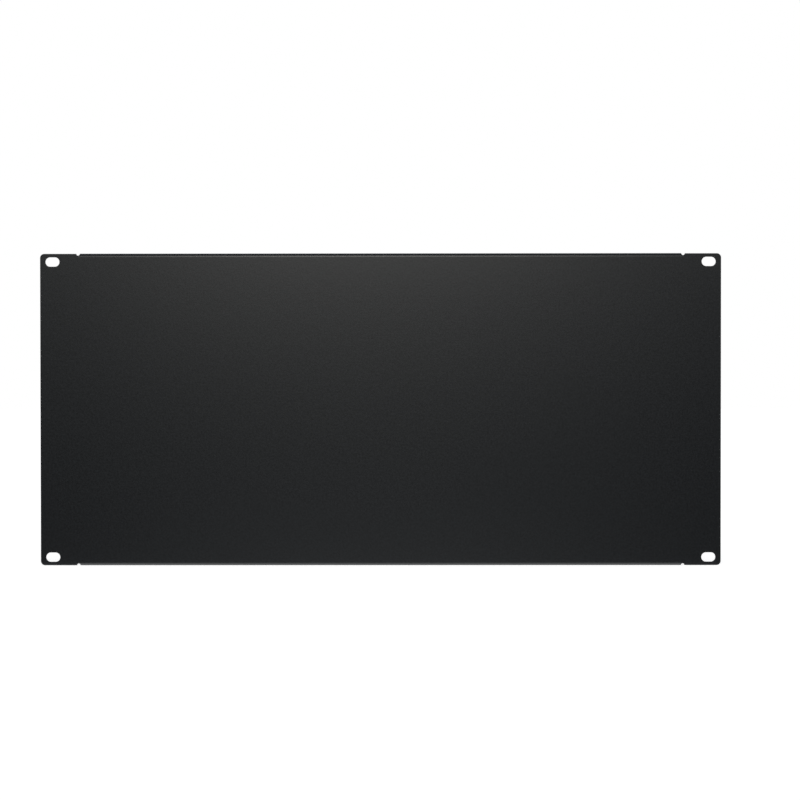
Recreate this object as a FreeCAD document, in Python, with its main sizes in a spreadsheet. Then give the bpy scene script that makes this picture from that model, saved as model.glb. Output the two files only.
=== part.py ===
"""A five-unit blanking panel for a 19-inch equipment rack.

One sheet of steel, punched and folded. The face covers the empty rack units, an ear at each side
carries two slots for the rack screws, and the top and bottom edges are folded back into stiffening
flanges that stop short of the rack rails. A round relief parts each flange from the ear beside it.
The panel is the same left and right and top and bottom, so one quarter is drawn and mirrored twice.

Frame, in millimetres: +Z up, +X to the right as seen from the front, -Y out of the face.
The origin is the centre of the slot pattern, on the back of the sheet, where the ears meet the rails.
"""

import FreeCAD, Part
import os

import Sketcher

NODE = "blanking_panel"

# The driving dimensions: (alias, value, what it is).
SIZES = [
    ("panel_width", 482.6, "over both ears, 19 inches"),
    ("rack_units", 5, "units that the panel covers"),
    ("unit_pitch", 44.45, "height of one rack unit"),
    ("stack_gap", 0.79, "play in height to the units above and below"),
    ("sheet_thickness", 1.5, "16 gauge steel"),
    ("bend_radius", 1.0, "inside the folds"),
    ("flange_depth", 16.0, "front of the face to the free edge of a flange"),
    ("ear_width", 26.9, "side edge of the panel to the middle of a relief"),
    ("ear_step", 0.2, "how far the ears stop short of the folds, top and bottom"),
    ("relief_radius", 1.2, "round end of a relief, half its width"),
    ("relief_depth", 1.25, "top or bottom of an ear to the bottom of a relief"),
    ("ear_corner_radius", 3.0, "outer corners of the ears"),
    ("flange_corner_radius", 3.0, "corners of a flange's free edge"),
    ("slot_length", 10.0, "screw slot, end to end"),
    ("slot_width", 6.6, "screw slot, across, the medium fit for an M6 screw"),
    ("slot_to_side", 8.75, "middle of a slot to the side edge of the panel"),
    ("slot_to_unit_edge", 6.35, "middle of a slot to the end of its rack unit"),
    ("edge_round", 0.25, "punched edges of the ears and slots on the show side, under their coat"),
]

# What follows from them, as expressions that the sketches and features share.
THICKNESS = "Sizes.sheet_thickness"
HALF_WIDTH = "Sizes.panel_width / 2"
FOLD_TOP = "(Sizes.rack_units * Sizes.unit_pitch - Sizes.stack_gap) / 2"
BEND_LINE = f"{FOLD_TOP} - Sizes.bend_radius - {THICKNESS}"
EAR_TOP = f"{FOLD_TOP} - Sizes.ear_step"
RELIEF_X = f"{HALF_WIDTH} - Sizes.ear_width"
RELIEF_Z = f"{EAR_TOP} - Sizes.relief_depth + Sizes.relief_radius"
FLANGE_END = f"{RELIEF_X} - Sizes.relief_radius"
FREE_EDGE = f"Sizes.flange_depth - {THICKNESS}"
SLOT_X = f"{HALF_WIDTH} - Sizes.slot_to_side"
SLOT_Z = "Sizes.rack_units * Sizes.unit_pitch / 2 - Sizes.slot_to_unit_edge"

START, END, CENTRE = 1, 2, 3  # the points of a sketch's line or arc
ORIGIN = (-1, 1)
X_AXIS = -1
QUARTER_TURN = 1.5707963267948966
TOUCH = 1e-4  # two places this close are the same


def size_sheet(doc):
    """The spreadsheet of driving dimensions: one plain number and its alias to a row."""
    sheet = doc.addObject("Spreadsheet::Sheet", "Sizes")
    for row, (alias, value, meaning) in enumerate(SIZES, start=1):
        sheet.set(f"A{row}", alias)
        sheet.set(f"B{row}", str(value))
        sheet.set(f"C{row}", meaning)
        sheet.setAlias(f"B{row}", alias)
    doc.recompute()
    return sheet


class Sketch:
    """A sketch on one of the body's planes, with each dimension tied to the sheet."""

    def __init__(self, body, name, plane):
        self.object = body.newObject("Sketcher::SketchObject", name)
        support = next(f for f in body.Origin.OriginFeatures if f.Role == plane)
        self.object.AttachmentSupport = [(support, "")]
        self.object.MapMode = "FlatFace"
        self.name = name

    def value(self, expression):
        """The number that an expression on the sheet stands for now."""
        return float(self.object.evalExpression(expression))

    def point(self, across, up):
        return FreeCAD.Vector(self.value(across), self.value(up), 0)

    def line(self, start, end):
        return self.object.addGeometry(Part.LineSegment(start, end), False)

    def arc(self, centre, radius, first, last):
        """An arc from the angle first to the angle last, in radians, anticlockwise."""
        circle = Part.Circle(centre, FreeCAD.Vector(0, 0, 1), radius)
        return self.object.addGeometry(Part.ArcOfCircle(circle, first, last), False)

    def tie(self, kind, *where):
        return self.object.addConstraint(Sketcher.Constraint(kind, *where))

    def dimension(self, name, expression, kind, *where):
        """A driving dimension called name, worked out by expression."""
        index = self.tie(kind, *where, self.value(expression))
        self.object.renameConstraint(index, name)
        self.object.setExpression(f"Constraints.{name}", expression)

    def done(self):
        """The finished sketch, with nothing left free."""
        self.object.Document.recompute()
        if not self.object.FullyConstrained:
            raise RuntimeError(f"sketch {self.name} is not fully constrained")
        return self.object


def fold_section(body):
    """Upper half of the folded section, from the middle of the face to the flange's free edge."""
    s = Sketch(body, "FoldSection", "YZ_Plane")
    front, back = f"-{THICKNESS}", "0"
    bend_centre = s.point("Sizes.bend_radius", BEND_LINE)
    inner_radius = s.value("Sizes.bend_radius")
    outer_radius = s.value(f"Sizes.bend_radius + {THICKNESS}")
    under = f"{FOLD_TOP} - {THICKNESS}"

    face_front = s.line(s.point(front, "0"), s.point(front, BEND_LINE))
    bend_outside = s.arc(bend_centre, outer_radius, QUARTER_TURN, 2 * QUARTER_TURN)
    flange_top = s.line(s.point("Sizes.bend_radius", FOLD_TOP), s.point(FREE_EDGE, FOLD_TOP))
    free_edge = s.line(s.point(FREE_EDGE, FOLD_TOP), s.point(FREE_EDGE, under))
    flange_under = s.line(s.point(FREE_EDGE, under), s.point("Sizes.bend_radius", under))
    bend_inside = s.arc(bend_centre, inner_radius, QUARTER_TURN, 2 * QUARTER_TURN)
    face_back = s.line(s.point(back, BEND_LINE), s.point(back, "0"))
    middle = s.line(s.point(back, "0"), s.point(front, "0"))

    s.tie("Tangent", face_front, END, bend_outside, END)
    s.tie("Tangent", bend_outside, START, flange_top, START)
    s.tie("Coincident", flange_top, END, free_edge, START)
    s.tie("Coincident", free_edge, END, flange_under, START)
    s.tie("Tangent", flange_under, END, bend_inside, START)
    s.tie("Tangent", bend_inside, END, face_back, START)
    s.tie("Coincident", face_back, END, middle, START)
    s.tie("Coincident", middle, END, face_front, START)
    s.tie("Coincident", bend_inside, CENTRE, bend_outside, CENTRE)
    for upright in (face_front, face_back, free_edge):
        s.tie("Vertical", upright)
    for level in (flange_top, flange_under, middle):
        s.tie("Horizontal", level)
    s.tie("Coincident", face_back, END, *ORIGIN)
    s.dimension("thickness", THICKNESS, "DistanceX", middle, END, middle, START)
    s.dimension("bend_radius", "Sizes.bend_radius", "Radius", bend_inside)
    s.dimension("fold_top", FOLD_TOP, "DistanceY", *ORIGIN, flange_top, END)
    s.dimension("flange_reach", FREE_EDGE, "DistanceX", *ORIGIN, flange_top, END)
    return s.done()


def ear_outline(body):
    """Upper half of the right ear, from the middle of the relief to the side edge."""
    s = Sketch(body, "EarOutline", "XZ_Plane")
    radius = s.value("Sizes.ear_corner_radius")
    corner_x = f"{HALF_WIDTH} - Sizes.ear_corner_radius"
    corner_z = f"{EAR_TOP} - Sizes.ear_corner_radius"

    middle = s.line(s.point(RELIEF_X, "0"), s.point(HALF_WIDTH, "0"))
    side = s.line(s.point(HALF_WIDTH, "0"), s.point(HALF_WIDTH, corner_z))
    corner = s.arc(s.point(corner_x, corner_z), radius, 0, QUARTER_TURN)
    top = s.line(s.point(corner_x, EAR_TOP), s.point(RELIEF_X, EAR_TOP))
    inner = s.line(s.point(RELIEF_X, EAR_TOP), s.point(RELIEF_X, "0"))

    s.tie("Coincident", middle, END, side, START)
    s.tie("Tangent", side, END, corner, START)
    s.tie("Tangent", corner, END, top, START)
    s.tie("Coincident", top, END, inner, START)
    s.tie("Coincident", inner, END, middle, START)
    s.tie("Horizontal", middle)
    s.tie("Vertical", side)
    s.tie("Horizontal", top)
    s.tie("Vertical", inner)
    s.tie("PointOnObject", middle, START, X_AXIS)
    s.dimension("corner_radius", "Sizes.ear_corner_radius", "Radius", corner)
    s.dimension("relief_x", RELIEF_X, "DistanceX", *ORIGIN, middle, START)
    s.dimension("half_width", HALF_WIDTH, "DistanceX", *ORIGIN, middle, END)
    s.dimension("ear_top", EAR_TOP, "DistanceY", *ORIGIN, top, END)
    return s.done()


def relief_notch(body):
    """The relief between the ear and the flange: a notch with a round end, open at the top."""
    s = Sketch(body, "ReliefNotch", "XZ_Plane")
    left, right = FLANGE_END, f"{RELIEF_X} + Sizes.relief_radius"
    mouth = f"{FOLD_TOP} + Sizes.relief_radius"
    radius = s.value("Sizes.relief_radius")

    flange_side = s.line(s.point(left, mouth), s.point(left, RELIEF_Z))
    round_end = s.arc(s.point(RELIEF_X, RELIEF_Z), radius, 2 * QUARTER_TURN, 4 * QUARTER_TURN)
    ear_side = s.line(s.point(right, RELIEF_Z), s.point(right, mouth))
    top = s.line(s.point(right, mouth), s.point(left, mouth))

    s.tie("Tangent", flange_side, END, round_end, START)
    s.tie("Tangent", round_end, END, ear_side, START)
    s.tie("Coincident", ear_side, END, top, START)
    s.tie("Coincident", top, END, flange_side, START)
    s.tie("Vertical", flange_side)
    s.tie("Vertical", ear_side)
    s.tie("Horizontal", top)
    s.dimension("relief_radius", "Sizes.relief_radius", "Radius", round_end)
    s.dimension("relief_x", RELIEF_X, "DistanceX", *ORIGIN, round_end, CENTRE)
    s.dimension("relief_z", RELIEF_Z, "DistanceY", *ORIGIN, round_end, CENTRE)
    s.dimension("mouth", mouth, "DistanceY", *ORIGIN, top, START)
    return s.done()


def rail_space(body):
    """Seen from above: the space behind the ear, which the flange leaves to the rack rail."""
    s = Sketch(body, "RailSpace", "XY_Plane")
    back = s.line(s.point(FLANGE_END, "0"), s.point(HALF_WIDTH, "0"))
    outer = s.line(s.point(HALF_WIDTH, "0"), s.point(HALF_WIDTH, "Sizes.flange_depth"))
    rear = s.line(s.point(HALF_WIDTH, "Sizes.flange_depth"), s.point(FLANGE_END, "Sizes.flange_depth"))
    inner = s.line(s.point(FLANGE_END, "Sizes.flange_depth"), s.point(FLANGE_END, "0"))
    sides = [back, outer, rear, inner]
    for this, following in zip(sides, sides[1:] + sides[:1]):
        s.tie("Coincident", this, END, following, START)
    for level in (back, rear):
        s.tie("Horizontal", level)
    for upright in (outer, inner):
        s.tie("Vertical", upright)
    s.tie("PointOnObject", back, START, X_AXIS)
    s.dimension("flange_end", FLANGE_END, "DistanceX", *ORIGIN, back, START)
    s.dimension("half_width", HALF_WIDTH, "DistanceX", *ORIGIN, back, END)
    s.dimension("depth", "Sizes.flange_depth", "DistanceY", outer, START, outer, END)
    return s.done()


def screw_slot(body):
    """One slot for a rack screw, lying level so that the screw can move sideways."""
    s = Sketch(body, "ScrewSlot", "XZ_Plane")
    end_radius = "Sizes.slot_width / 2"
    reach = "(Sizes.slot_length - Sizes.slot_width) / 2"
    left, right = f"{SLOT_X} - {reach}", f"{SLOT_X} + {reach}"
    upper, lower = f"{SLOT_Z} + {end_radius}", f"{SLOT_Z} - {end_radius}"
    radius = s.value(end_radius)

    top = s.line(s.point(right, upper), s.point(left, upper))
    left_end = s.arc(s.point(left, SLOT_Z), radius, QUARTER_TURN, 3 * QUARTER_TURN)
    bottom = s.line(s.point(left, lower), s.point(right, lower))
    right_end = s.arc(s.point(right, SLOT_Z), radius, -QUARTER_TURN, QUARTER_TURN)

    s.tie("Tangent", top, END, left_end, START)
    s.tie("Tangent", left_end, END, bottom, START)
    s.tie("Tangent", bottom, END, right_end, START)
    s.tie("Tangent", right_end, END, top, START)
    s.tie("Horizontal", top)
    s.tie("Equal", left_end, right_end)
    s.dimension("end_radius", end_radius, "Radius", left_end)
    s.dimension("left_centre", left, "DistanceX", *ORIGIN, left_end, CENTRE)
    s.dimension("right_centre", right, "DistanceX", *ORIGIN, right_end, CENTRE)
    s.dimension("height", SLOT_Z, "DistanceY", *ORIGIN, left_end, CENTRE)
    return s.done()


def pad(body, name, sketch, length):
    """Adds the sketch's outline, drawn out along its plane's normal by an expression's length."""
    feature = body.newObject("PartDesign::Pad", name)
    feature.Profile = sketch
    feature.setExpression("Length", length)
    body.Document.recompute()
    return feature


def cut_through(body, name, sketch):
    """Cuts the sketch's outline right through, both ways, and makes sure that it met the sheet."""
    before = body.Shape.Volume
    feature = body.newObject("PartDesign::Pocket", name)
    feature.Profile = sketch
    feature.Type = "ThroughAll"
    feature.SideType = "Symmetric"
    body.Document.recompute()
    if not body.Shape.Volume < before - TOUCH:
        raise RuntimeError(f"{name} cuts nothing")
    return feature


def round_edges(body, name, radius, is_wanted):
    """Rounds those edges of the body for which is_wanted is true."""
    base = body.Tip
    chosen = [f"Edge{n}" for n, edge in enumerate(base.Shape.Edges, start=1) if is_wanted(edge)]
    if not chosen:
        raise RuntimeError(f"{name} finds no edges")
    feature = body.newObject("PartDesign::Fillet", name)
    feature.Base = (base, chosen)
    feature.setExpression("Radius", radius)
    body.Document.recompute()
    return feature


def double(body, name, plane):
    """Doubles the whole body across one of its origin planes."""
    feature = body.newObject("PartDesign::Mirrored", name)
    feature.TransformMode = "Whole shape"
    support = next(f for f in body.Origin.OriginFeatures if f.Role == plane)
    feature.MirrorPlane = (support, [""])
    body.Tip = feature
    body.Document.recompute()
    return feature


def panel(doc):
    """The panel's body: a quarter of the sheet folded, cut and rounded, then mirrored twice."""
    body = doc.addObject("PartDesign::Body", "BlankingPanel")
    body.Label = NODE
    doc.recompute()

    front = body.evalExpression(f"-{THICKNESS}")
    flange_end = body.evalExpression(FLANGE_END)
    free_edge = body.evalExpression(FREE_EDGE)
    relief_side = body.evalExpression(f"{RELIEF_X} + Sizes.relief_radius")

    def at(edge, *low_and_high):
        """Whether the edge's box, XYZ low then XYZ high, is as given; None stands for any."""
        box = edge.BoundBox
        found = (box.XMin, box.YMin, box.ZMin, box.XMax, box.YMax, box.ZMax)
        pairs = zip(found, low_and_high)
        return all(want is None or abs(have - want) < TOUCH for have, want in pairs)

    def is_flange_corner(edge):
        return at(edge, flange_end, free_edge, None, flange_end, free_edge, None)

    def is_on_ear_front(edge):
        """The ear's outline past the relief, and the slot's."""
        box = edge.BoundBox
        past_relief = box.XMin > relief_side - TOUCH and box.XMax > relief_side + TOUCH
        return at(edge, None, front, None, None, front, None) and past_relief

    pad(body, "FoldedSheet", fold_section(body), RELIEF_X)
    pad(body, "Ear", ear_outline(body), THICKNESS)
    cut_through(body, "FlangeEnd", rail_space(body))
    round_edges(body, "FlangeCorner", "Sizes.flange_corner_radius", is_flange_corner)
    cut_through(body, "Relief", relief_notch(body))
    cut_through(body, "Slot", screw_slot(body))
    round_edges(body, "EdgeRound", "Sizes.edge_round", is_on_ear_front)
    double(body, "RightAndLeft", "YZ_Plane")
    double(body, "TopAndBottom", "XY_Plane")
    return body


def check(doc, body):
    """Stops unless every object is in order and the panel is one sound solid."""
    for item in doc.Objects:
        if {"Invalid", "Error"} & set(item.State):
            raise RuntimeError(f"{item.Name} has failed: {item.State}")
    shape = body.Shape
    if shape.isNull() or not shape.isValid() or len(shape.Solids) != 1:
        raise RuntimeError(f"{body.Label} is not one valid solid")


document = FreeCAD.newDocument("RackBlankingPanel")
size_sheet(document)
blanking_panel = panel(document)
document.recompute()
check(document, blanking_panel)
os.makedirs("parts", exist_ok=True)
blanking_panel.Shape.exportStep(f"parts/{blanking_panel.Label}.step")
print(f"{blanking_panel.Label}: {blanking_panel.Shape.Volume:.0f} mm3")
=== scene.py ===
import math

import bmesh
import bpy
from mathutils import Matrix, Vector


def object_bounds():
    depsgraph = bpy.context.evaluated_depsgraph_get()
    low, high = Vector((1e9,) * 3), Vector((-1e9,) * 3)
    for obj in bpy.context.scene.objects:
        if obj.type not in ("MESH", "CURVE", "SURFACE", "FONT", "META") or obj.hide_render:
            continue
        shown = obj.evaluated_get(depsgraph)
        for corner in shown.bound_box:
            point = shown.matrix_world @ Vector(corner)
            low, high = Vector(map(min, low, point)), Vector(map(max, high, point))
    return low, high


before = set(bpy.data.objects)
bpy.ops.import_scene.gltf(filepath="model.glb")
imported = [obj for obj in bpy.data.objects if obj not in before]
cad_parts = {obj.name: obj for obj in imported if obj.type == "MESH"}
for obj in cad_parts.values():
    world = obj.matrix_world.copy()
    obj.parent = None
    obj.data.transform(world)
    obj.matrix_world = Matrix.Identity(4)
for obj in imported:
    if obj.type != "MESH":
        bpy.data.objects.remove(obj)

cad_low, cad_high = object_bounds()
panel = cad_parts["blanking_panel"]

# The powder coat. Pitches and heights are in metres.
GRAIN_PITCH = 0.0013          # from one grain of the powder to the next
GRAIN_HEIGHT = 0.00002
GRAIN_HOLLOW = 0.3            # the noise between the grains
GRAIN_CREST = 0.7             # and on top of them
ORANGE_PEEL_PITCH = 0.0045    # from one swell of the flowed coat to the next
ORANGE_PEEL_HEIGHT = 0.00002
HOLLOW_BLACK = (0.0008, 0.0022, 0.0039, 1)
CREST_BLACK = (0.0062, 0.0086, 0.0113, 1)
COAT_SHEEN = 0.41             # roughness of the satin gloss
SHEEN_SPREAD = 0.018          # how far a grain's own gloss departs from it
RESIN_IOR = 1.52

# The studio. A brightness of 1 is white, and tints are near white.
SOFT_LIGHT = 0.5              # falls on the coat from all round
SOFT_TINT = (0.97, 0.985, 1.0, 1)
DARK_ROOM = 0.19              # what the gloss shows of the room in front
DARK_ROOM_TINT = (0.95, 0.98, 1.04, 1)
ROOM_BRIGHTENS = 0.3          # how far round to the back the room stays dark, 1 being right behind
ROOM_WHITE = 0.95             # and how far round it is white

# The floor, and the painted pool of light that gloss sees on it, a glow of the floor's own that no
# lamp casts: it lies round the panel and is brightest in the narrow strip right under it. In
# metres, reaches run from the panel's middle, and the strip's edges from the back of the ears.
FLOOR_WHITE = 0.8
FLOOR_GLOW = 0.66             # makes the floor white to the camera
POOL_IN_FRONT = 0.41          # in the middle, fading to nothing at the reach in front
POOL_BEHIND = 0.8             # in the middle, fading to the far value at the reach behind
POOL_FAR_BEHIND = 0.3
POOL_REACH_IN_FRONT = 0.6
POOL_REACH_BEHIND = 0.8
POOL_NARROWING = 1.5          # how much sooner the pool fades to the sides
# painted glow of the strip right under the panel, shown only in gloss
STRIP_GLOW = 1.75
STRIP_FRONT = -0.004
STRIP_BACK = 0.006
STRIP_FADE = 0.001            # half the width over which each edge of the strip fades


def node(tree, kind, inputs, **settings):
    """A new node. An input takes a value of its own or another node's output."""
    made = tree.nodes.new(kind)
    for key, value in settings.items():
        setattr(made, key, value)
    for key, value in inputs.items():
        if isinstance(value, bpy.types.NodeSocket):
            tree.links.new(value, made.inputs[key])
        else:
            made.inputs[key].default_value = value
    return made


def new_material(name):
    """A material with an empty node tree, and that tree."""
    material = bpy.data.materials.new(name)
    material.use_nodes = True
    material.node_tree.nodes.clear()
    return material, material.node_tree


def object_place(tree):
    """The place on the object, in metres."""
    return node(tree, "ShaderNodeTexCoord", {}).outputs["Object"]


def noise(tree, place, pitch, detail, roughness):
    """Noise about 0.5, with one bump to each pitch."""
    made = node(tree, "ShaderNodeTexNoise",
                {"Vector": place, "Scale": 1 / pitch, "Detail": detail, "Roughness": roughness})
    return made.outputs["Fac"]


def map_range(tree, value, low, high, to_low, to_high, curve="LINEAR"):
    """The value, with low to high brought to to_low to to_high, and held there beyond."""
    made = node(tree, "ShaderNodeMapRange",
                {"Value": value, "From Min": low, "From Max": high,
                 "To Min": to_low, "To Max": to_high},
                interpolation_type=curve)
    return made.outputs["Result"]


def reckon(tree, operation, first, second):
    """The sum, product or the like of two values."""
    return node(tree, "ShaderNodeMath", {0: first, 1: second}, operation=operation).outputs["Value"]


def mix_shader(tree, fac, first, second):
    """The first shader where fac is 0, and the second where it is 1."""
    return node(tree, "ShaderNodeMixShader", {"Fac": fac, 1: first, 2: second}).outputs["Shader"]


def for_each_ray(tree, camera, gloss, light):
    """One shader that the camera sees, one that shows in gloss, and one that lights the coat."""
    path = node(tree, "ShaderNodeLightPath", {}).outputs
    seen = reckon(tree, "MAXIMUM", path["Is Camera Ray"], path["Is Transmission Ray"])
    return mix_shader(tree, seen, mix_shader(tree, path["Is Glossy Ray"], light, gloss), camera)


def satin_black_powder_coat():
    """Black powder coat: a fine dry grain over a faint orange peel."""
    material, tree = new_material("satin_black_powder_coat")
    place = object_place(tree)
    grain = noise(tree, place, GRAIN_PITCH, detail=2.0, roughness=0.6)
    orange_peel = noise(tree, place, ORANGE_PEEL_PITCH, detail=1.0, roughness=0.5)

    colour = node(tree, "ShaderNodeValToRGB", {"Fac": grain})
    hollow, crest = colour.color_ramp.elements
    hollow.position = GRAIN_HOLLOW
    hollow.color = HOLLOW_BLACK
    crest.position = GRAIN_CREST
    crest.color = CREST_BLACK

    sheen = map_range(tree, grain, GRAIN_HOLLOW, GRAIN_CREST,
                      COAT_SHEEN - SHEEN_SPREAD, COAT_SHEEN + SHEEN_SPREAD)
    swells = node(tree, "ShaderNodeBump",
                  {"Height": orange_peel, "Strength": 1.0, "Distance": ORANGE_PEEL_HEIGHT})
    grains = node(tree, "ShaderNodeBump",
                  {"Height": grain, "Strength": 1.0, "Distance": GRAIN_HEIGHT,
                   "Normal": swells.outputs["Normal"]})
    coat = node(tree, "ShaderNodeBsdfPrincipled",
                {"Base Color": colour.outputs["Color"], "Roughness": sheen,
                 "Normal": grains.outputs["Normal"], "Metallic": 0.0, "IOR": RESIN_IOR,
                 "Specular IOR Level": 0.5})
    node(tree, "ShaderNodeOutputMaterial", {"Surface": coat.outputs["BSDF"]})
    return material


def painted_pool_of_light(tree):
    """How bright each place of the floor looks in gloss: a painted pool of light that no lamp casts.
    """
    place = object_place(tree)
    depth = node(tree, "ShaderNodeSeparateXYZ", {"Vector": place}).outputs["Y"]
    narrowed = node(tree, "ShaderNodeMapping", {"Vector": place, "Scale": (POOL_NARROWING, 1, 0)})
    reach = node(tree, "ShaderNodeVectorMath", {0: narrowed.outputs["Vector"]},
                 operation="LENGTH").outputs["Value"]
    in_front = map_range(tree, reach, 0, POOL_REACH_IN_FRONT, POOL_IN_FRONT, 0, "SMOOTHSTEP")
    behind = map_range(tree, reach, 0, POOL_REACH_BEHIND, POOL_BEHIND, POOL_FAR_BEHIND, "SMOOTHSTEP")

    past_front = map_range(tree, depth, STRIP_FRONT - STRIP_FADE, STRIP_FRONT + STRIP_FADE, 0, 1)
    past_back = map_range(tree, depth, STRIP_BACK - STRIP_FADE, STRIP_BACK + STRIP_FADE, 0, 1)
    strip = reckon(tree, "MULTIPLY", reckon(tree, "SUBTRACT", past_front, past_back), STRIP_GLOW)
    pool = node(tree, "ShaderNodeMix", {"Factor": past_back, "A": in_front, "B": behind},
                data_type="FLOAT")
    return reckon(tree, "MAXIMUM", strip, pool.outputs["Result"])


def white_floor_paint():
    """White to the camera, with the panel's soft shadow; gloss sees the painted pool of light."""
    material, tree = new_material("white_floor")
    matt = node(tree, "ShaderNodeBsdfDiffuse",
                {"Color": (FLOOR_WHITE, FLOOR_WHITE, FLOOR_WHITE, 1)}).outputs["BSDF"]
    glow = node(tree, "ShaderNodeEmission", {"Strength": FLOOR_GLOW}).outputs["Emission"]
    white = node(tree, "ShaderNodeAddShader", {0: matt, 1: glow}).outputs["Shader"]
    # a painted pool of light: emission on the floor that only gloss sees
    pool = node(tree, "ShaderNodeEmission", {"Strength": painted_pool_of_light(tree)}).outputs["Emission"]
    paint = for_each_ray(tree, camera=white, gloss=pool, light=matt)
    node(tree, "ShaderNodeOutputMaterial", {"Surface": paint})
    return material


def studio_walls():
    """White to the camera, soft light on the coat; gloss sees a dark room, white behind."""
    world = bpy.data.worlds.new("studio")
    bpy.context.scene.world = world
    world.use_nodes = True
    tree = world.node_tree
    tree.nodes.clear()

    def wall(colour, strength):
        return node(tree, "ShaderNodeBackground",
                    {"Color": colour, "Strength": strength}).outputs["Background"]

    towards = node(tree, "ShaderNodeTexCoord", {}).outputs["Generated"]
    depth = node(tree, "ShaderNodeSeparateXYZ", {"Vector": towards}).outputs["Y"]
    brightness = map_range(tree, depth, ROOM_BRIGHTENS, ROOM_WHITE, DARK_ROOM, 1.0, "SMOOTHSTEP")
    walls = for_each_ray(tree, camera=wall((1, 1, 1, 1), 1.0),
                         gloss=wall(DARK_ROOM_TINT, brightness),
                         light=wall(SOFT_TINT, SOFT_LIGHT))
    node(tree, "ShaderNodeOutputWorld", {"Surface": walls})


def hang_soft_box(place, aim, size, brightness, colour):
    """A rectangular soft box. Its brightness is that of its face, where 1 is white."""
    lamp = bpy.data.lights.new("soft_box", "AREA")
    lamp.shape = "RECTANGLE"
    lamp.size, lamp.size_y = size
    lamp.energy = brightness * math.pi * size[0] * size[1]
    lamp.color = colour
    holder = bpy.data.objects.new("soft_box", lamp)
    bpy.context.scene.collection.objects.link(holder)
    holder.location = place
    holder.rotation_euler = (Vector(aim) - Vector(place)).to_track_quat("-Z", "Y").to_euler()


def lay_floor(half_width):
    """The floor touches the panel's lowest edge."""
    mesh = bpy.data.meshes.new("floor")
    made = bmesh.new()
    bmesh.ops.create_grid(made, x_segments=1, y_segments=1, size=half_width)
    bmesh.ops.translate(made, verts=made.verts, vec=(0, 0, cad_low[2]))
    made.to_mesh(mesh)
    made.free()
    mesh.materials.append(white_floor_paint())
    floor = bpy.data.objects.new("floor", mesh)
    bpy.context.scene.collection.objects.link(floor)


def stand_camera(distance, above, aside, roll, lens, shift):
    """The camera looks at the panel's front, from a little above and aside."""
    data = bpy.data.cameras.new("camera")
    data.lens = lens
    data.shift_x, data.shift_y = shift
    camera = bpy.data.objects.new("camera", data)
    bpy.context.scene.collection.objects.link(camera)
    out = distance * math.cos(above)
    camera.location = (out * math.sin(aside), cad_low[1] - out * math.cos(aside),
                       distance * math.sin(above))
    camera.rotation_euler = (math.pi / 2 - above, roll, aside)
    bpy.context.scene.camera = camera


panel.material_slots[0].material = satin_black_powder_coat()

lay_floor(half_width=6.0)
studio_walls()
hang_soft_box(place=(-0.030, -0.760, 0.398), aim=(0, 0, 0.05), size=(0.38, 0.16),
              brightness=15.2, colour=(1.0, 0.98, 0.93))
stand_camera(distance=2.0, above=math.radians(1.07), aside=math.radians(0.35),
             roll=math.radians(0.045), lens=126.9, shift=(0.0245, 0.0119))
bpy.context.scene.view_settings.view_transform = "Standard"
